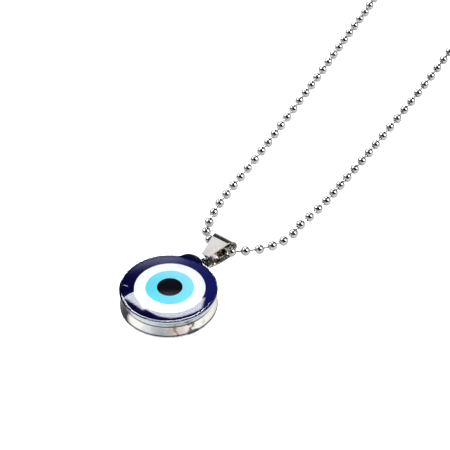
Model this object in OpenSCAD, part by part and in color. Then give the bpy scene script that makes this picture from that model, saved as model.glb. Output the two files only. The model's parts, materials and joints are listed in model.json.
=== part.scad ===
// Evil eye pendant: a round two-sided glass eye in a polished metal rim, hung by a
// fold-over bail on a ball chain that closes through a tube coupling. It lies on its back
// on a flat surface at z = 0. Millimetres, +Z up, origin under the middle of the whole piece.

/* [Rim] */
// Outer radius of the rim
rim_r = 11.7; // [10:0.1:15]
// Height of the rim from its back edge to its front edge
rim_h = 5; // [4:0.1:7]
// Width of the bright lip around the glass
lip_w = 0.2; // [0.2:0.05:0.5]
// Depth of the groove that runs round the middle of the rim
groove_d = 0.8; // [0.3:0.1:1.2]
// Thickness of the metal disc between the two glasses
web_t = 1; // [0.6:0.1:1.6]

/* [Tab] */
// Radius of the rounded tab that widens the rim at the bail
tab_r = 3.65; // [3:0.05:4.5]
// Distance from the pendant's middle to the middle of the tab's arc
tab_x = 9.3; // [8.5:0.1:10]
// Thickness of each tab plate
tab_t = 1.3; // [1:0.1:1.5]
// Depth of the dark filling in the front of the tab
tab_pocket = 0.8; // [0.4:0.1:0.9]
// Step from the rim's edge down to the filling of the tab
tab_step = 0.3; // [0.1:0.05:0.35]

/* [Glass eye] */
// How far the middle of each dome stands above the rim
dome_h = 1; // [0.9:0.05:1.2]
// Radius of the sphere that each dome is cut from
dome_r = 62; // [50:1:90]
// Radius of the white ring
white_r = 8.4; // [7:0.1:9.5]
// Radius of the light blue ring
blue_r = 5.7; // [4.5:0.1:6.5]
// Radius of the pupil
pupil_r = 3; // [2:0.1:4]
// Thickness of the coloured layers at their edge
layer_t = 0.6; // [0.4:0.1:0.9]
// Gap between two pieces that lie against each other
fit_gap = 0.04; // [0.02:0.01:0.06]

/* [Bail] */
// Outer thickness of the bail, over both leaves
bail_h = 5.2; // [5.2:0.1:5.6]
// Thickness of its sheet metal
sheet_t = 0.4; // [0.3:0.05:0.6]
// Width where the fold begins
bail_w = 4.6; // [4:0.1:5.5]
// Width at the pendant
bail_tip_w = 2.2; // [1.8:0.1:3]
// Distance from the pendant's middle to the axis of the fold
fold_x = 20.7; // [20.5:0.1:20.9]

/* [Chain] */
// Diameter of a ball
ball_d = 2.4; // [2.4:0.1:2.6]
// Distance from ball to ball
ball_pitch = 3.52; // [3.45:0.01:3.6]
// Wall of a ball
ball_wall = 0.2; // [0.15:0.01:0.22]
// Diameter of the wire between two balls
wire_d = 0.5; // [0.4:0.05:0.5]
// Outer diameter of the coupling that closes the chain
coupling_d = 3.5; // [3.5:0.1:4]

/* [Hidden] */
$fn = 96;

// Direction that the pendant leans in, clockwise from +Y, and how far it leans
azimuth = 38;
lean = 6.5;
// How far the bail and its eye are turned clockwise from that direction, and the tab back from it
bail_turn = 3;
tab_turn = 6;
// Where the back dome touches the surface, before the piece is centred
rest_at = [-10.8, -19.8];
// The coloured rings are printed this far from the rim's axis
print_shift = [0.2, -0.25];

// Heights above the back dome's lowest point, with the pendant level
back_z = dome_h;
front_z = back_z + rim_h;
mid_z = back_z + rim_h / 2;
cup_r = rim_r - lip_w;
// The cup narrows to this radius below a ledge, to leave a wall behind the groove
groove_wall = 0.35;
seat_r = rim_r - groove_d - groove_wall;
ledge_z = front_z - 0.4;

// How far the back plate of the tab stands in from the rim's edge, to clear the surface
tab_lift = 0.2;
// Eye that the bail's two tongues hook into
eye_x = 14.6;
eye_r = 1.4;
eye_hole_r = 0.8;
eye_t = 1;
tongue_w = 1;
tongue_gap = 0.1;
// Leaf ends of the bail: the lower leaf rises from kink_x towards the tongue
kink_x = 18.4;
kink_rise = 0.9;
// How much wider the bail grows on each side, for each millimetre past the fold's axis
fold_grow = 0.3;

ball_r = ball_d / 2;
bore_r = 0.42;
head_r = 0.54;
head_back = 0.3;
coupling_r = coupling_d / 2;
coupling_wall = 0.35;
coupling_cap = 0.45;
coupling_hole_r = 0.65;
// Distance between the two end balls inside the coupling
end_balls = 5.2;
// How far along the chain from the bail the coupling lies
coupling_at = 262;

// Route of the chain on the surface, [x, y], from the bail round the right strand and back
route = [
    [-1.5, -9], [1.15, -11.25], [4.6, -10.8], [8.1, -10.3], [11.4, -9.5], [14.2, -8.2],
    [16.7, -6.1], [18.8, -3.2], [21.6, -0.6], [26.2, 4.3], [30, 9], [36.6, 17.1], [43.1, 25.5],
    [50.1, 34.7], [57.2, 44.3], [64.1, 54], [72, 65], [85, 78.5], [102, 92], [121, 107],
    [137, 127], [142, 153], [127, 177], [100, 184], [76, 170], [64, 147], [59, 120], [54.5, 95],
    [46.5, 78.9], [41.3, 70.8], [35.9, 62.3], [30.4, 53.5], [24.8, 44.8], [19.1, 36.1],
    [13.2, 27], [7.1, 18.1], [3, 12.3], [-0.9, 6.5], [-2.6, 3.3], [-3.9, 0.2], [-4.75, -3.2],
    [-4, -6.7]];
// Height of the ball centres, [distance from the bail or the coupling, height]
lift_at_bail = [[0, 2.15], [4, 2.1], [8.5, 1.25], [11, 1.2]];
lift_at_coupling = [[0, 1.75], [2.6, 1.75], [7, 1.3], [10, 1.2]];
// How far the balls have slid along the route, [distance along it, slide]
slide = [[0, 0.4], [12, 0.3], [18, -0.3], [35, -0.6], [44, -1.3], [60, -1.4], [75, -0.1], [97, 1.7],
         [250, 0], [408, 1.7], [420, 0.9], [435, 0.3], [455, 0], [486, 0.5], [514, 0.4]];
route_steps = 12;

function wrap(i) = (i + len(route)) % len(route);
function span(i) = norm(route[wrap(i + 1)] - route[wrap(i)]);
function slope(i) = (route[wrap(i + 1)] - route[wrap(i - 1)]) / (span(i) + span(i - 1));
// Smooth curve from route point i to the next, t from 0 to 1
function curve(i, t) =
    (1 - t) * (1 - t) * (1 + 2 * t) * route[wrap(i)]
    + t * (1 - t) * (1 - t) * span(i) * slope(i)
    + t * t * (3 - 2 * t) * route[wrap(i + 1)]
    - t * t * (1 - t) * span(i) * slope(i + 1);
fine = [for (i = [0:len(route) - 1], k = [0:route_steps - 1]) curve(i, k / route_steps), route[0]];
run = [for (i = 0, s = 0; i < len(fine); s = s + (i + 1 < len(fine) ? norm(fine[i + 1] - fine[i]) : 0),
       i = i + 1) s];
run_x = [for (i = [0:len(fine) - 1]) [run[i], fine[i].x]];
run_y = [for (i = [0:len(fine) - 1]) [run[i], fine[i].y]];
loop_length = run[len(run) - 1];

function turn(s) = s - loop_length * floor(s / loop_length);
function from_bail(s) = min(turn(s), loop_length - turn(s));
function height(s) = max(lookup(from_bail(s), lift_at_bail),
                         lookup(abs(turn(s) - coupling_at), lift_at_coupling));
function place(s) = [lookup(turn(s), run_x), lookup(turn(s), run_y), height(s)];
function slid(s) = s + lookup(turn(s), slide);

// Balls from one end inside the coupling, all the way round, to the other end
strung = loop_length - end_balls;
ball_count = round(strung / ball_pitch) + 1;
ball_step = strung / (ball_count - 1);
balls = [for (i = [0:ball_count - 1]) place(slid(coupling_at + end_balls / 2 + i * ball_step))];
// First ball of the right strand, the one nearest to the bail's middle
mid_ball = round((loop_length - coupling_at - end_balls / 2) / ball_step);

// The pendant's axis, and the corner of its box nearest to -X and -Y
axis = [sin(lean) * sin(azimuth), sin(lean) * cos(azimuth), cos(lean)];
low_corner = [for (k = [0, 1])
    rest_at[k] - (dome_r - back_z) * axis[k] - rim_r * sqrt(1 - pow(axis[k], 2))];
high_corner = [for (k = [0, 1]) max([for (b = balls) b[k]]) + ball_r];
middle = (low_corner + high_corner) / 2;

// Moves a piece modelled on the pendant's axis, back dome at z = 0, to where the pendant lies
module on_pendant() {
    translate([rest_at.x - middle.x, rest_at.y - middle.y, dome_r])
        rotate([0, 0, 90 - azimuth])
            rotate([0, lean, 0])
                translate([0, 0, -dome_r])
                    children();
}

// Point on the surface under the pendant's middle, from which the bail is measured
module on_bail() {
    translate([rest_at.x - middle.x, rest_at.y - middle.y, 0])
        rotate([0, 0, 90 - azimuth])
            translate([-dome_r * sin(lean), 0, 0])
                rotate([0, 0, -bail_turn])
                    children();
}

// Moves a piece modelled on the pendant's axis to the axis of the printed rings
module printed() {
    translate([print_shift.x, print_shift.y, 0]) children();
}

// Space inside one face of the rim, as a stepped cylinder; shrink leaves a gap all round
module cup(shrink) {
    translate([0, 0, ledge_z + shrink]) cylinder(r = cup_r - shrink, h = rim_h);
    translate([0, 0, mid_z + web_t / 2 + shrink]) cylinder(r = seat_r - shrink, h = rim_h / 2);
}

// Glass that fills a cup and rises to a dome
module dome_blank() {
    intersection() {
        translate([0, 0, front_z + dome_h - dome_r]) sphere(r = dome_r, $fn = 240);
        cup(fit_gap);
    }
}

// Turns a piece of the front face over to the back face
module to_back() {
    translate([0, 0, 2 * mid_z]) mirror([0, 0, 1]) children();
}

module layer(outer_r, inner_r) {
    intersection() {
        translate([0, 0, front_z + dome_h - dome_r]) sphere(r = dome_r, $fn = 240);
        printed() difference() {
            translate([0, 0, layer_floor()]) cylinder(r = outer_r, h = rim_h);
            if (inner_r > 0)
                translate([0, 0, layer_floor() - 1]) cylinder(r = inner_r, h = rim_h + 2);
        }
    }
}

// Floor of the pocket that the coloured layers lie in
function layer_floor() = front_z + dome_h - pow(white_r + norm(print_shift), 2) / (2 * dome_r) - layer_t;

module at_tab() {
    rotate([0, 0, tab_turn]) translate([tab_x, 0, 0]) children();
}

module tab_plate() {
    at_tab() cylinder(r = tab_r, h = tab_t);
}

module groove() {
    rotate_extrude()
        polygon([[rim_r - groove_d, mid_z - 0.15], [rim_r - groove_d, mid_z + 0.15],
                 [rim_r + 0.01, front_z - 0.35], [rim_r + 9, front_z - 0.35],
                 [rim_r + 9, back_z + 0.35], [rim_r + 0.01, back_z + 0.35]]);
}

module rim() {
    color("silver") on_pendant() difference() {
        union() {
            difference() {
                translate([0, 0, back_z]) cylinder(r = rim_r, h = rim_h);
                groove();
            }
            translate([0, 0, front_z - tab_t]) tab_plate();
            translate([0, 0, back_z + tab_lift]) tab_plate();
            rotate([0, 0, -bail_turn]) {
                translate([eye_x, 0, mid_z - eye_t / 2]) cylinder(r = eye_r, h = eye_t);
                translate([rim_r - 2, -eye_r, mid_z - eye_t / 2])
                    cube([eye_x - rim_r + 2, 2 * eye_r, eye_t]);
            }
        }
        cup(0);
        to_back() cup(0);
        at_tab() translate([0, 0, front_z - tab_pocket]) cylinder(r = tab_r - lip_w, h = tab_t);
        rotate([0, 0, -bail_turn])
            translate([eye_x, 0, mid_z - eye_t]) cylinder(r = eye_hole_r, h = 2 * eye_t);
    }
}

module front_glass() {
    color("midnightblue") on_pendant() difference() {
        union() {
            dome_blank();
            at_tab() translate([0, 0, front_z - tab_pocket + fit_gap])
                cylinder(r = tab_r - lip_w - fit_gap, h = tab_pocket - fit_gap - tab_step);
        }
        printed() translate([0, 0, layer_floor() - fit_gap]) cylinder(r = white_r + fit_gap, h = rim_h);
    }
}

module white_ring() {
    color("white") on_pendant() layer(white_r, blue_r + fit_gap);
}

module blue_ring() {
    color("deepskyblue") on_pendant() layer(blue_r, pupil_r + fit_gap);
}

module pupil() {
    color("black") on_pendant() layer(pupil_r, 0);
}

module back_glass() {
    color("midnightblue") on_pendant() to_back() dome_blank();
}

// Side view of the bail: upper leaf, fold and lower leaf with its kink
module bail_side() {
    leaf_start = eye_reach() - sheet_t / 2;
    difference() {
        union() {
            translate([fold_x, bail_h / 2]) circle(d = bail_h);
            translate([leaf_start, bail_h - sheet_t]) square([fold_x - leaf_start, sheet_t]);
            translate([kink_x, 0]) square([fold_x - kink_x, bail_h / 2]);
        }
        translate([fold_x, bail_h / 2]) circle(d = bail_h - 2 * sheet_t);
        translate([leaf_start, sheet_t]) square([fold_x - leaf_start, bail_h - 2 * sheet_t]);
    }
    polygon([[kink_x, 0], [kink_x, sheet_t], [leaf_start + sheet_t, kink_rise + sheet_t],
             [leaf_start, kink_rise + sheet_t], [leaf_start, kink_rise]]);
}

// Distance of the eye's hole from the point under the pendant's middle
function eye_reach() = eye_x * cos(lean) + mid_z * sin(lean);
function eye_height() = dome_r + (mid_z - dome_r) * cos(lean) - eye_x * sin(lean);

module tongue(low_z, high_z) {
    translate([eye_reach() - sheet_t / 2, -tongue_w / 2, low_z])
        cube([sheet_t, tongue_w, high_z - low_z]);
}

module bail() {
    start = eye_reach() - sheet_t / 2;
    color("silver") on_bail() union() {
        intersection() {
            translate([0, bail_w, 0]) rotate([90, 0, 0]) linear_extrude(2 * bail_w) bail_side();
            translate([0, 0, -1]) linear_extrude(bail_h + 2)
                polygon([[start - 1, bail_tip_w / 2], [start + 0.6, bail_tip_w / 2],
                         [fold_x, bail_w / 2], [fold_x + bail_h, bail_w / 2 + fold_grow * bail_h],
                         [fold_x + bail_h, -bail_w / 2 - fold_grow * bail_h], [fold_x, -bail_w / 2],
                         [start + 0.6, -bail_tip_w / 2], [start - 1, -bail_tip_w / 2]]);
        }
        tongue(eye_height() + tongue_gap / 2, bail_h - sheet_t / 2);
        tongue(kink_rise + sheet_t / 2, eye_height() - tongue_gap / 2);
    }
}

// Turns a piece that points along +Z so that it points along d
module pointing(d) {
    rotate([0, acos(d.z / norm(d)), atan2(d.y, d.x)]) children();
}

// One hollow ball, the bore that the last ball's wire comes in by, and its own wire and head
module link(at, from, to) {
    across = atan2(to.y - from.y, to.x - from.x) + 90;
    translate(at) {
        difference() {
            rotate([0, 0, across]) sphere(r = ball_r, $fn = 32);
            rotate([0, 0, across]) sphere(r = ball_r - ball_wall, $fn = 32);
            if (from != at)
                pointing(from - at) cylinder(r = bore_r, h = 2 * ball_r, $fn = 24);
        }
        if (to != at) {
            reach = norm(to - at) - head_back;
            pointing(to - at) {
                translate([0, 0, ball_r - ball_wall / 2])
                    cylinder(d = wire_d, h = reach - ball_r + ball_wall / 2, $fn = 24);
                translate([0, 0, reach]) sphere(r = head_r, $fn = 24);
            }
        }
    }
}

// The balls from number first to number last, counted from the coupling by the left strand
module strand(first, last) {
    color("silver") translate([-middle.x, -middle.y, 0])
        for (i = [first:last])
            link(balls[i], balls[max(i - 1, 0)], balls[min(i + 1, ball_count - 1)]);
}

module chain_left() {
    strand(0, mid_ball - 1);
}

module chain_right() {
    strand(mid_ball, ball_count - 1);
}

module chain_coupling() {
    first = balls[0];
    last = balls[ball_count - 1];
    half = end_balls / 2 + ball_r + 0.2 + coupling_cap;
    centre = (first + last) / 2;
    color("silver") translate([centre.x - middle.x, centre.y - middle.y, coupling_r])
        pointing([first.x - last.x, first.y - last.y, 0]) difference() {
            translate([0, 0, -half]) cylinder(r = coupling_r, h = 2 * half);
            translate([0, 0, coupling_cap - half])
                cylinder(r = coupling_r - coupling_wall, h = 2 * (half - coupling_cap));
            translate([0, 0, -half - 1]) cylinder(r = coupling_hole_r, h = 2 * half + 2);
            translate([-coupling_d, -wire_d / 2 - 0.15, -half - 1])
                cube([coupling_d, wire_d + 0.3, 2 * half + 2]);
        }
}

rim();
front_glass();
white_ring();
blue_ring();
pupil();
back_glass();
bail();
chain_right();
chain_left();
chain_coupling();
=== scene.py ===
"""Looks of the evil eye pendant on its ball chain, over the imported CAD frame."""
import json
import math
from collections import namedtuple

import bpy
import numpy as np
from mathutils import Matrix, Vector

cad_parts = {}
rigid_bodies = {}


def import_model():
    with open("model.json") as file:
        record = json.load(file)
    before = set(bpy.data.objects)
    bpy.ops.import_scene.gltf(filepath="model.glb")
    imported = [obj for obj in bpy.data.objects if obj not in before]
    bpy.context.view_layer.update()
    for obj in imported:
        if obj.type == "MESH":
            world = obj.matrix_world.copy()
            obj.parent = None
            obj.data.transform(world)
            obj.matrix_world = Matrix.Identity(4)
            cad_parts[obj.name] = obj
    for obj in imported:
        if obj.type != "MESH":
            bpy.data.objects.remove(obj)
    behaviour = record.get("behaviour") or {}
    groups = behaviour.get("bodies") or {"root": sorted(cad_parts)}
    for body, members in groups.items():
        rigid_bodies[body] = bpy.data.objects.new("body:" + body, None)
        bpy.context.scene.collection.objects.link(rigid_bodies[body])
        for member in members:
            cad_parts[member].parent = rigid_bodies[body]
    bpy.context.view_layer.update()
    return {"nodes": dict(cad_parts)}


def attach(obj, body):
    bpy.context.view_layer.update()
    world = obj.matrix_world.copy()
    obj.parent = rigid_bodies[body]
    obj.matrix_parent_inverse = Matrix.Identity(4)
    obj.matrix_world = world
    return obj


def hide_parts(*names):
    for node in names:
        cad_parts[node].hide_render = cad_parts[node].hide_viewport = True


for obj in list(bpy.data.objects):
    bpy.data.objects.remove(obj)
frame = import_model()

# Millimetres to Blender's metres
MM = 0.001

# Sizes of the pendant in millimetres, as in the part's source
DOME_R = 62.0
DOME_H = 1.0
RIM_R = 11.7
RIM_H = 5.0
LIP_W = 0.2
TAB_X = 9.3
TAB_R = 3.65
FOLD_X = 20.7
FIT_GAP = 0.04
PRINT_SHIFT = Vector((0.2, -0.25, 0.0))
RING_R = {"white_ring": 8.4, "blue_ring": 5.7, "pupil": 3.0}

# Heights above the back dome's lowest point, with the pendant level
FRONT_Z = DOME_H + RIM_H
TOP_Z = FRONT_Z + DOME_H
CUP_R = RIM_R - LIP_W

# Where the back dome touches the floor, and the middle of the whole piece, which is the origin
REST = Vector((-10.8, -19.8, 0.0))
MIDDLE = Vector((58.4288, 74.2592, 0.0))

# Directions in degrees, clockwise from +Y, and the lean
AZIMUTH = 38.0
LEAN = 6.5
BAIL_TURN = 3.0
TAB_TURN = 6.0

# The navy disc: its depth below the rim's front edge, its thickness and the width of its bevel
DISC_DEPTH = 0.3
DISC_T = 0.4
DISC_BEVEL = 0.02

# The prints: step from one to the next, thickness, and how far their edges and the disc's drop
PRINT_STEP = 0.04
PRINT_T = 0.039
EDGE_DROP = 0.03

# The clear dome: how far it keeps below the part's own, width and drop of its rounded edge,
# how deep its floor is buried in the navy disc, and the fineness of its mesh
DOME_SINK = 0.01
DOME_ROUND = 0.3
DOME_DROP = 0.16
DOME_BURIED = 0.2
DOME_BEVEL = 0.02
DOME_STEPS = 40
ROUND_STEPS = 8
DOME_SEGMENTS = 192

# The filling of the tab: height of its swelling, where on its arch the dome's edge lies,
# the arch's power and the width at which it reaches its full height
POOL_SWELL = 0.75
POOL_START = 0.05
POOL_POWER = 0.6
POOL_WIDE = 1.2
# Its lift over the rim, its depth below the rim, how far it reaches into the cup and keeps
# inside the tab's outline, and the rows and columns of its mesh
POOL_LIFT = 0.02
POOL_DEPTH = 0.7
POOL_REACH = 0.02
POOL_INSET = 0.06
POOL_ROWS = 24
POOL_COLS = 72

# Camera, measured from the photograph, with distance, lens and sensor in millimetres
CAM_ELEVATION = math.radians(46.42)
CAM_ROLL = math.radians(-5.35)
CAM_DISTANCE = 399.8
CAM_LENS = 128.0
CAM_SENSOR = 36.0

# Softboxes that the metal and glass mirror: place, half sizes and roll in degrees,
# width of the soft edge, brightness and how far the ends bow down
Panel = namedtuple("Panel", "azimuth elevation width height roll soft bright bow")
PANELS = (
    Panel(-64, 44, 20, 15, 12, 0.08, 5.0, 0),
    Panel(106, 41, 16, 18, -25, 0.07, 6.0, 0),
    Panel(7.2, 54.25, 11.2, 3.7, 0, 0.012, 15.5, 3.4),
    Panel(-9.8, 45.5, 2.6, 6.0, 24, 0.012, 15.0, 0),
    Panel(-13, 34, 0.25, 0.9, 30, 0.003, 9.0, 0),
    Panel(-10, 14, 16, 9, 0, 0.08, 1.1, 0),
    Panel(2, 47.5, 8.0, 4.5, 0, 0.05, 1.0, 0),
    Panel(0, 86, 17, 14, 0, 0.1, 0.5, 0),
    Panel(222, 25, 24, 9, 0, 0.15, 0.4, 0),
)
EVEN_LIGHT = 2.4
STUDIO_COLOR = (0.9, 0.92, 1, 1)

# Floor: half its side and how far it lies below z = 0, in metres
FLOOR_HALF = 3.0
FLOOR_DROP = 0.0001
FLOOR_GLOW = 0.5
FLOOR_WHITE = (0.95, 0.95, 0.95, 1)
FLOOR_MIRRORED = (0.4, 0.4, 0.39, 1)

# Painted reflections on the rim's lower band: stretch and soft ends in degrees round its axis from
# the near side, positive to the right, then strength and colour
RimReflection = namedtuple("RimReflection", "start stop soft strength color")
RIM_REFLECTIONS = (
    RimReflection(-24, -8, 2, 0.25, (0.65, 0.65, 0.62, 1)),
    RimReflection(-2, 24, 3, 0.8, (0.92, 0.8, 0.68, 1)),
    RimReflection(8, 11, 1, 0.8, (0.32, 0.24, 0.18, 1)),
)

# Arcs on the rim, as start, stop and soft end: dark specks, the deeper part of the painted slate
# reflection and the painted dark reflection at the left end
SPECKS_ARC = (22, 46, 3)
SLATE_REFLECTION_ARC = (-14, 50, 8)
DARK_REFLECTION_ARC = (-112, -58, 6)
FAR_ANGLES = (95, 125)

# Heights on the rim in millimetres where a tone comes in, or comes in and goes out again: the
# painted slate reflection, the painted shade in the groove, the foot line and the far lip
SLATE_REFLECTION_LEVELS = (3.4, 3.7)
GROOVE_SHADE_LEVELS = ((3.4, 3.6), (3.9, 4.4))
FOOT_LEVELS = ((1.3, 1.36), (1.62, 1.75))
LIP_LEVELS = (5.6, 5.8)

# On the bail: height of the top leaf, and distances beyond the axis of the fold: the span of painted
# shade inside, the outside and the painted dark reflection line
LEAF_LEVELS = (4.62, 4.72)
FOLD_SHADE_SPAN = (-0.4, 0.6)
FOLD_OUTSIDE = (0.2, 0.4)
FOLD_REFLECTION_LINE = ((0.5, 0.65), (1.1, 1.2))

# Colours of the metals
RIM_BRIGHT = (1.0, 0.99, 0.96, 1)
RIM_SPECKS = (0.12, 0.1, 0.09, 1)
# Painted reflection: bluish slate tones above the groove
SLATE_REFLECTION_PALE = (0.78, 0.87, 0.94, 1)
SLATE_REFLECTION_DEEP = (0.6, 0.7, 0.8, 1)
# Painted dark reflection at the rim's left end
RIM_LEFT_DARK_REFLECTION = (0.03, 0.03, 0.035, 1)
# Painted shade in the groove
GROOVE_SHADE = (0.03, 0.03, 0.05, 1)
FOOT_DARK = (0.04, 0.04, 0.09, 1)
FAR_LIP = (0.93, 0.93, 1.0, 1)
LEAF_BRIGHT = (0.79, 0.76, 0.68, 1)
LEAF_DULL = (0.69, 0.665, 0.6, 1)
# Painted shade and warm highlights inside the bail, darkest near the fold
INSIDE_HIGHLIGHT = (0.7, 0.64, 0.56, 1)
INSIDE_BROWN_SHADE = (0.17, 0.145, 0.12, 1)
FOLD_SHADE = (0.05, 0.05, 0.05, 1)
# Painted dark reflection along the fold
FOLD_DARK_REFLECTION = (0.04, 0.04, 0.04, 1)
CHAIN_STEEL = (0.68, 0.675, 0.66, 1)
COUPLING_STEEL = (0.62, 0.61, 0.59, 1)

# Colours of the glass, at the near left and at the far right of the pendant; the far-right colours
# carry painted light
NAVY = ((0.0005, 0.0002, 0.03, 1), (0.006, 0.008, 0.105, 1))
POOL_BLACK = ((0.0005, 0.0005, 0.008, 1), (0.001, 0.001, 0.015, 1))
WHITE = ((0.9, 0.9, 0.92, 1), (0.9, 0.9, 0.91, 1))
LIGHT_BLUE = ((0.085, 0.64, 0.83, 1), (0.28, 0.72, 0.84, 1))
PUPIL_BLACK = ((0.002, 0.002, 0.004, 1), (0.004, 0.004, 0.008, 1))


def direction(azimuth, elevation=0.0):
    """Unit vector, in degrees: azimuth 0 is +Y and 90 is +X."""
    a = math.radians(azimuth)
    e = math.radians(elevation)
    return Vector((math.sin(a) * math.cos(e), math.cos(a) * math.cos(e), math.sin(e)))


def pendant_matrix():
    """From millimetres on the pendant's axis to the row frame in metres."""
    place = Matrix.Translation(REST - MIDDLE + Vector((0, 0, DOME_R)))
    heading = Matrix.Rotation(math.radians(90 - AZIMUTH), 4, "Z")
    lean = Matrix.Rotation(math.radians(LEAN), 4, "Y")
    return Matrix.Scale(MM, 4) @ place @ heading @ lean @ Matrix.Translation((0, 0, -DOME_R))


PENDANT = pendant_matrix()


def make_camera():
    """Camera at the photograph's viewing angle."""
    forward = Vector((0, math.cos(CAM_ELEVATION), -math.sin(CAM_ELEVATION)))
    right = Vector((1, 0, 0))
    up = right.cross(forward)
    across = right * math.cos(CAM_ROLL) + up * math.sin(CAM_ROLL)
    above = up * math.cos(CAM_ROLL) - right * math.sin(CAM_ROLL)
    data = bpy.data.cameras.new("camera")
    data.lens = CAM_LENS
    data.sensor_width = CAM_SENSOR
    data.clip_start = 0.005
    camera = bpy.data.objects.new("camera", data)
    bpy.context.collection.objects.link(camera)
    axes = Matrix((across, above, -forward)).transposed().to_4x4()
    camera.matrix_world = Matrix.Translation((-forward * CAM_DISTANCE - MIDDLE) * MM) @ axes
    bpy.context.scene.camera = camera


class Nodes:
    """Short way to add and join shader nodes."""

    def __init__(self, tree):
        self.tree = tree
        tree.nodes.clear()

    def add(self, kind, inputs=None, **settings):
        node = self.tree.nodes.new(kind)
        for key, value in settings.items():
            setattr(node, key, value)
        for key, value in (inputs or {}).items():
            self.put(node.inputs[key], value)
        return node

    def put(self, socket, value):
        if isinstance(value, bpy.types.NodeSocket):
            self.tree.links.new(value, socket)
        else:
            socket.default_value = value

    def math(self, how, a, b=0.0, c=0.0):
        node = self.add("ShaderNodeMath", operation=how)
        for socket, value in zip(node.inputs, (a, b, c)):
            self.put(socket, value)
        return node.outputs[0]

    def times(self, a, b):
        return self.math("MULTIPLY", a, b)

    def minus(self, a, b):
        return self.math("SUBTRACT", a, b)

    def dot(self, vector, fixed):
        node = self.add("ShaderNodeVectorMath", {0: vector, 1: fixed}, operation="DOT_PRODUCT")
        return node.outputs["Value"]

    def ramp(self, value, low, high, out_low=0.0, out_high=1.0):
        """Smooth step from out_low at low to out_high at high."""
        inputs = {"Value": value, "From Min": low, "From Max": high,
                  "To Min": out_low, "To Max": out_high}
        node = self.add("ShaderNodeMapRange", inputs, interpolation_type="SMOOTHSTEP")
        return node.outputs["Result"]

    def band(self, value, rise, fall):
        """0 before the pair of values rise, 1 between the pairs and 0 after fall."""
        return self.times(self.ramp(value, *rise), self.ramp(value, *fall, 1.0, 0.0))

    def mix(self, factor, a, b):
        """Colour a where the factor is 0 and b where it is 1."""
        return self.add("ShaderNodeMix", {0: factor, 6: a, 7: b}, data_type="RGBA").outputs[2]

    def place(self):
        return self.add("ShaderNodeTexCoord").outputs["Object"]

    def noise(self, where, scale, detail, rough=0.5):
        inputs = {"Vector": where, "Scale": scale, "Detail": detail, "Roughness": rough}
        return self.add("ShaderNodeTexNoise", inputs).outputs["Fac"]

    def bump(self, height, strength):
        inputs = {"Height": height, "Strength": strength, "Distance": 0.0001}
        return self.add("ShaderNodeBump", inputs).outputs[0]

    def surface(self, shader):
        self.add("ShaderNodeOutputMaterial", {"Surface": shader.outputs[0]})

    def principled(self, **inputs):
        """Principled surface; an underscore stands for the space in a socket's name."""
        named = {key.replace("_", " "): value for key, value in inputs.items()}
        self.surface(self.add("ShaderNodeBsdfPrincipled", named))


def softbox(n, ray, panel):
    """Mask of a soft rectangle in the sky, bowed down at its ends: 1 inside, 0 outside."""
    middle = direction(panel.azimuth, panel.elevation)
    flat = Vector((0, 0, 1)).cross(middle).normalized()
    steep = middle.cross(flat)
    roll = math.radians(panel.roll)
    side = flat * math.cos(roll) + steep * math.sin(roll)
    top = steep * math.cos(roll) - flat * math.sin(roll)
    facing = n.dot(ray, middle)
    depth = n.math("MAXIMUM", facing, 0.001)
    mask = n.ramp(facing, 0.0, 0.05)
    x = n.math("DIVIDE", n.dot(ray, side), depth)
    y = n.math("DIVIDE", n.dot(ray, top), depth)
    y = n.math("MULTIPLY_ADD", n.times(x, x), panel.bow, y)
    for value, half in ((x, panel.width), (y, panel.height)):
        edge = math.tan(math.radians(half))
        distance = n.math("ABSOLUTE", value)
        mask = n.times(mask, n.ramp(distance, edge - panel.soft, edge + panel.soft, 1.0, 0.0))
    return mask


def make_world():
    """Even light on matt surfaces, and a dark studio with softboxes for polished ones to mirror."""
    world = bpy.data.worlds.new("studio")
    bpy.context.scene.world = world
    world.use_nodes = True
    world.cycles.sampling_method = "NONE"
    n = Nodes(world.node_tree)
    ray = n.add("ShaderNodeTexCoord").outputs["Generated"]
    height = n.dot(ray, Vector((0, 0, 1)))
    far = n.dot(ray, Vector((0, 1, 0)))
    # A bright horizon, dimmer on the far side, with a haze above it there
    horizon = n.ramp(height, 0.04, 0.14, 1.0, 0.0)
    low = n.times(horizon, n.ramp(far, -0.6, 0.5, 0.8, 0.35))
    haze = n.times(n.ramp(far, 0.3, 0.7, 0.02, 1.0), n.ramp(height, 0.25, 0.52, 0.25, 0.03))
    total = n.math("ADD", n.math("MAXIMUM", low, haze), 0.01)
    for panel in PANELS:
        total = n.math("MULTIPLY_ADD", softbox(n, ray, panel), panel.bright, total)
    mirrored = n.add("ShaderNodeBackground", {"Color": STUDIO_COLOR, "Strength": total})
    even = n.add("ShaderNodeBackground", {"Color": (1, 1, 1, 1), "Strength": EVEN_LIGHT})
    path = n.add("ShaderNodeLightPath").outputs
    shine = n.times(path["Is Glossy Ray"], n.minus(1.0, path["Is Transmission Ray"]))
    both = n.add("ShaderNodeMixShader", {0: shine, 1: even.outputs[0], 2: mirrored.outputs[0]})
    n.add("ShaderNodeOutputWorld", {"Surface": both.outputs[0]})


def material(name):
    mat = bpy.data.materials.new(name)
    mat.use_nodes = True
    return mat, Nodes(mat.node_tree)


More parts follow.
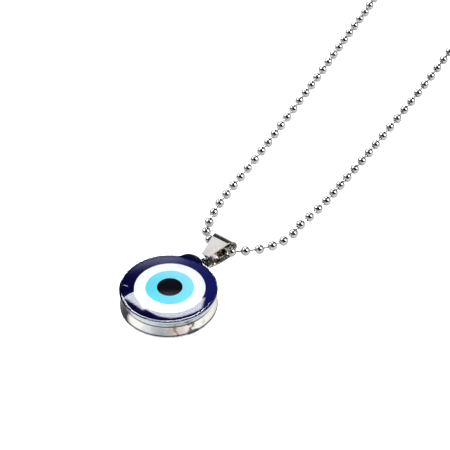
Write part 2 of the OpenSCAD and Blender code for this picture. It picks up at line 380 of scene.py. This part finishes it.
def make_floor():
    """White floor that metal and glass mirror as grey."""
    corners = [(x * FLOOR_HALF, y * FLOOR_HALF, -FLOOR_DROP)
               for x, y in ((-1, -1), (1, -1), (1, 1), (-1, 1))]
    mesh = bpy.data.meshes.new("floor")
    mesh.from_pydata(corners, [], [(0, 1, 2, 3)])
    floor = bpy.data.objects.new("floor", mesh)
    bpy.context.collection.objects.link(floor)
    mat, n = material("floor")
    diffuse = n.add("ShaderNodeBsdfDiffuse", {"Color": FLOOR_WHITE})
    glow = n.add("ShaderNodeEmission", {"Color": (1, 1, 1, 1), "Strength": FLOOR_GLOW})
    white = n.add("ShaderNodeAddShader", {0: diffuse.outputs[0], 1: glow.outputs[0]})
    grey = n.add("ShaderNodeBsdfDiffuse", {"Color": FLOOR_MIRRORED})
    glossy = n.add("ShaderNodeLightPath").outputs["Is Glossy Ray"]
    n.surface(n.add("ShaderNodeMixShader", {0: glossy, 1: white.outputs[0], 2: grey.outputs[0]}))
    mesh.materials.append(mat)


def metal(name, color, rough):
    """Polished metal with faint uneven polish and fine scratches, and painted shade that darkens it
    at grazing angles.
    """
    mat, n = material(name)
    cloud = n.noise(n.place(), 900.0, 4.0, 0.6)
    polish = n.ramp(cloud, 0.3, 0.75, rough * 0.7, rough * 1.5)
    clouded = tuple(c * 0.93 for c in color[:3]) + (1,)
    grazing_shade = tuple(c * 0.4 for c in color[:3]) + (1,)
    edge = n.add("ShaderNodeLayerWeight", {"Blend": 0.5}).outputs["Facing"]
    # Painted shade: darker towards the outline, at grazing angles
    tone = n.mix(n.ramp(edge, 0.5, 0.95), n.mix(cloud, color, clouded), grazing_shade)
    n.principled(Base_Color=tone, Metallic=1.0, Roughness=polish, Normal=n.bump(cloud, 0.03))
    return mat


def rim_metal():
    """Bright metal with painted reflections, bluish above the groove and warm and patchy below it,
    painted shade in the groove and a painted dark reflection at the left end.
    """
    mat, n = material("rim_metal")
    where = n.place()
    foot = PENDANT.translation
    axis = PENDANT.to_3x3().col[2].normalized()
    level = n.times(n.minus(n.dot(where, axis), foot.dot(axis)), 1 / MM)
    side = n.minus(n.dot(where, Vector((1, 0, 0))), foot.x)
    near = n.minus(foot.y, n.dot(where, Vector((0, 1, 0))))
    around = n.times(n.math("ARCTAN2", side, near), math.degrees(1))
    noise = n.noise(where, 420.0, 5.0, 0.6)
    wobble = n.math("MULTIPLY_ADD", n.minus(noise, 0.5), 26.0, around)

    def stretch(start, stop, soft):
        """Mask of the rim between two angles, with ragged ends."""
        return n.band(wobble, (start - soft, start + soft), (stop - soft, stop + soft))

    tone = RIM_BRIGHT
    # Painted reflections below the groove: a grey and a warm stretch and a dark brown patch
    for patch in RIM_REFLECTIONS:
        mask = n.times(stretch(patch.start, patch.stop, patch.soft), patch.strength)
        tone = n.mix(mask, tone, patch.color)
    specks = n.times(stretch(*SPECKS_ARC), n.ramp(noise, 0.42, 0.5))
    tone = n.mix(n.times(specks, 0.9), tone, RIM_SPECKS)
    # Painted reflection: bluish above the groove, deeper over the near side and the right
    slate_reflection = n.mix(stretch(*SLATE_REFLECTION_ARC), SLATE_REFLECTION_PALE, SLATE_REFLECTION_DEEP)
    tone = n.mix(n.ramp(level, *SLATE_REFLECTION_LEVELS), tone, slate_reflection)
    # Painted dark reflection along the rim's left end
    tone = n.mix(stretch(*DARK_REFLECTION_ARC), tone, RIM_LEFT_DARK_REFLECTION)
    # Painted shade in the groove
    tone = n.mix(n.times(n.band(level, *GROOVE_SHADE_LEVELS), 0.92), tone, GROOVE_SHADE)
    tone = n.mix(n.times(n.band(level, *FOOT_LEVELS), 0.9), tone, FOOT_DARK)
    far_side = n.ramp(n.math("ABSOLUTE", around), *FAR_ANGLES)
    far_lip = n.times(n.ramp(level, *LIP_LEVELS), far_side)
    tone = n.mix(far_lip, tone, FAR_LIP)
    polish = n.math("MAXIMUM", n.ramp(noise, 0.3, 0.75, 0.06, 0.16), n.times(far_lip, 0.55))
    n.principled(Base_Color=tone, Metallic=1.0, Roughness=polish, Normal=n.bump(noise, 0.08))
    return mat


def bail_metal():
    """Bright leaf with a painted dark reflection along the fold; dull inside, with painted brown
    shade and warm painted highlights, darkest near the fold.
    """
    mat, n = material("bail_metal")
    where = n.place()
    ahead = direction(AZIMUTH + BAIL_TURN)
    foot = REST - MIDDLE - direction(AZIMUTH) * (DOME_R * math.sin(math.radians(LEAN)))
    fold = (foot.dot(ahead) + FOLD_X) * MM
    beyond = n.times(n.minus(n.dot(where, ahead), fold), 1 / MM)
    height = n.times(n.dot(where, Vector((0, 0, 1))), 1 / MM)
    fine = n.noise(where, 700.0, 4.0)
    broad = n.noise(where, 260.0, 2.0)
    leaf = n.mix(n.ramp(broad, 0.35, 0.65), LEAF_BRIGHT, LEAF_DULL)
    # Painted shade inside the bail: brown blotches with warm painted highlights
    inside = n.mix(n.ramp(fine, 0.42, 0.58), INSIDE_HIGHLIGHT, INSIDE_BROWN_SHADE)
    # Painted shade, darkest inside near the fold
    inside = n.mix(n.ramp(beyond, *FOLD_SHADE_SPAN), inside, FOLD_SHADE)
    outside = n.math("MAXIMUM", n.ramp(height, *LEAF_LEVELS), n.ramp(beyond, *FOLD_OUTSIDE))
    tone = n.mix(outside, inside, leaf)
    # Painted dark reflection: a line along the fold
    tone = n.mix(n.times(n.band(beyond, *FOLD_REFLECTION_LINE), 0.85), tone, FOLD_DARK_REFLECTION)
    n.principled(Base_Color=tone, Metallic=1.0, Roughness=n.ramp(fine, 0.3, 0.7, 0.01, 0.02))
    return mat


def enamel(name, colors, rough=0.3, shine=0.0):
    """Printed or glassy colour, slightly uneven, with painted light that changes it towards the far
    right, mostly lighter there.
    """
    mat, n = material(name)
    where = n.place()
    cloud = n.noise(where, 260.0, 3.0)
    far_right = Vector((1, 0.7, 0)) / MM
    across = n.minus(n.dot(where, far_right), PENDANT.translation.dot(far_right))
    slide = n.math("MULTIPLY_ADD", n.minus(cloud, 0.5), 4.0, across)
    # Painted light: the colour turns mostly lighter towards the far right
    tone = n.mix(n.ramp(slide, -11.0, 13.0), *colors)
    n.principled(Base_Color=tone, Roughness=rough, IOR=1.5, Specular_IOR_Level=shine)
    return mat


def clear_glass():
    mat, n = material("clear_glass")
    n.principled(Base_Color=(1, 1, 1, 1), Roughness=0.0, IOR=1.5, Transmission_Weight=1.0)
    return mat


def dress(node, mat, bevel=0.0):
    """Gives a CAD node its material and, if asked, edges rounded by so many millimetres."""
    obj = frame["nodes"][node]
    obj.data.materials.clear()
    obj.data.materials.append(mat)
    if bevel:
        edge = obj.modifiers.new("edges", "BEVEL")
        edge.width = bevel * MM
        edge.segments = 3
        edge.limit_method = "ANGLE"
        edge.angle_limit = math.radians(35)
        edge.harden_normals = True


def piece(name, verts, faces, mat, matrix):
    """A new mesh from millimetres, riding on the root."""
    mesh = bpy.data.meshes.new(name)
    mesh.from_pydata([tuple(v) for v in verts], [], faces)
    mesh.transform(matrix)
    mesh.update()
    mesh.shade_smooth()
    mesh.set_sharp_from_angle(angle=math.radians(40))
    mesh.materials.append(mat)
    obj = bpy.data.objects.new(name, mesh)
    bpy.context.collection.objects.link(obj)
    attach(obj, "root")
    return obj


def lathe(profile, segments=128):
    """Turns (radius, height) points round the Z axis; a radius of 0 closes on the axis."""
    verts = []
    rows = []
    angles = [2 * math.pi * k / segments for k in range(segments)]
    for r, z in profile:
        if r == 0:
            rows.append([len(verts)])
            verts.append((0, 0, z))
        else:
            rows.append(list(range(len(verts), len(verts) + segments)))
            verts.extend((r * math.cos(a), r * math.sin(a), z) for a in angles)
    faces = []
    for a, b in zip(rows, rows[1:]):
        for k in range(segments):
            j = (k + 1) % segments
            if len(a) == 1:
                faces.append((a[0], b[k], b[j]))
            elif len(b) == 1:
                faces.append((b[0], a[j], a[k]))
            else:
                faces.append((b[k], b[j], a[j], a[k]))
    return verts, faces


def make_base(mat, top):
    """Navy disc under the prints."""
    r = CUP_R - FIT_GAP
    bottom = top - DISC_T
    profile = [(0, top), (r - DISC_BEVEL, top), (r, top - EDGE_DROP), (r, bottom), (0, bottom)]
    verts, faces = lathe(profile)
    return piece("navy_base", verts, faces, mat, PENDANT)


def make_print(node, r, mat, top):
    """Thin printed disc with a rounded edge, off the rim's axis as in the photograph."""
    bottom = top - PRINT_T
    profile = [(0, top), (r - 0.05, top), (r - 0.015, top - 0.008), (r, top - EDGE_DROP),
               (r, bottom), (0, bottom)]
    verts, faces = lathe(profile)
    plate = piece(node + "_print", verts, faces, mat, PENDANT @ Matrix.Translation(PRINT_SHIFT))
    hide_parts(node)


def dome_z(r):
    """Height of the dome at a radius."""
    return TOP_Z - DOME_SINK - DOME_R + math.sqrt(DOME_R ** 2 - r * r)


def make_lens(mat, floor):
    """Clear dome over the prints; its flat floor is buried in the navy disc."""
    edge = CUP_R - FIT_GAP
    inner = edge - DOME_ROUND
    profile = [(r, dome_z(r)) for r in np.linspace(0, inner, DOME_STEPS)]
    for t in np.linspace(0, math.pi / 2, ROUND_STEPS)[1:]:
        drop = DOME_DROP * (1 - math.cos(t))
        profile.append((inner + DOME_ROUND * math.sin(t), dome_z(inner) - drop))
    profile += [(edge, floor + DOME_BEVEL), (edge - DOME_BEVEL, floor), (0, floor)]
    verts, faces = lathe(profile, DOME_SEGMENTS)
    return piece("clear_dome", verts, faces, mat, PENDANT)


def make_pool(mat):
    """Glossy dark filling of the tab, from the dome's edge to the tab's outline, swollen between."""
    inner = CUP_R - POOL_REACH
    outer = TAB_R - POOL_INSET
    cross_x = (TAB_X ** 2 + inner ** 2 - outer ** 2) / (2 * TAB_X)
    cross_y = math.sqrt(inner ** 2 - cross_x ** 2)
    half_in = math.atan2(cross_y, cross_x)
    half_out = math.atan2(cross_y, cross_x - TAB_X)
    verts = []
    for i in range(POOL_COLS + 1):
        t = 2 * i / POOL_COLS - 1
        near = Vector((inner * math.cos(half_in * t), inner * math.sin(half_in * t)))
        far = Vector((TAB_X + outer * math.cos(half_out * t), outer * math.sin(half_out * t)))
        wide = min(1.0, (far - near).length / POOL_WIDE)
        for j in range(POOL_ROWS + 1):
            s = 0.5 - 0.5 * math.cos(math.pi * j / POOL_ROWS)
            point = near.lerp(far, s)
            arch = math.sin(math.pi * (POOL_START + (1 - POOL_START) * s)) ** POOL_POWER
            verts.append((point.x, point.y, FRONT_Z + POOL_LIFT + POOL_SWELL * arch * wide))
    count = len(verts)
    verts += [(x, y, FRONT_Z - POOL_DEPTH) for x, y, z in verts]
    step = POOL_ROWS + 1
    faces = []
    for i in range(POOL_COLS):
        for j in range(POOL_ROWS):
            k = i * step + j
            quad = (k, k + step, k + step + 1, k + 1)
            faces.append(quad)
            faces.append(tuple(q + count for q in reversed(quad)))
    ring = list(range(step))
    ring += [i * step + POOL_ROWS for i in range(1, POOL_COLS + 1)]
    ring += [POOL_COLS * step + j for j in range(POOL_ROWS - 1, -1, -1)]
    ring += [i * step for i in range(POOL_COLS - 1, 0, -1)]
    for a, b in zip(ring, ring[1:] + ring[:1]):
        faces.append((a, b, b + count, a + count))
    turn = PENDANT @ Matrix.Rotation(math.radians(TAB_TURN), 4, "Z")
    return piece("tab_enamel", verts, faces, mat, turn)


def make_eye():
    """Flat printed rings under a clear domed glass, and the dark pool in the tab."""
    level = FRONT_Z - DISC_DEPTH
    prints = {"white_ring": enamel("white_enamel", WHITE),
              "blue_ring": enamel("blue_enamel", LIGHT_BLUE),
              "pupil": enamel("black_enamel", PUPIL_BLACK)}
    base = make_base(enamel("navy_enamel", NAVY), level)
    for k, (node, r) in enumerate(RING_R.items()):
        make_print(node, r, prints[node], level + PRINT_STEP * (k + 1))
    dome = make_lens(clear_glass(), level - DOME_BURIED)
    pool = make_pool(enamel("tab_enamel", POOL_BLACK, 0.03, 0.25))
    for obj in (base, dome, pool):
        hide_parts("front_glass")


def dress_nodes():
    """Materials of the CAD nodes that show as they are."""
    chain = metal("chain_metal", CHAIN_STEEL, 0.04)
    dress("rim", rim_metal(), 0.06)
    dress("bail", bail_metal())
    dress("chain_coupling", metal("polished_metal", COUPLING_STEEL, 0.08), 0.05)
    dress("chain_left", chain)
    dress("chain_right", chain)
    dress("back_glass", enamel("navy_glass", NAVY, 0.03, 0.5))


make_camera()
make_world()
make_floor()
dress_nodes()
make_eye()
bpy.context.scene.view_settings.view_transform = "Standard"
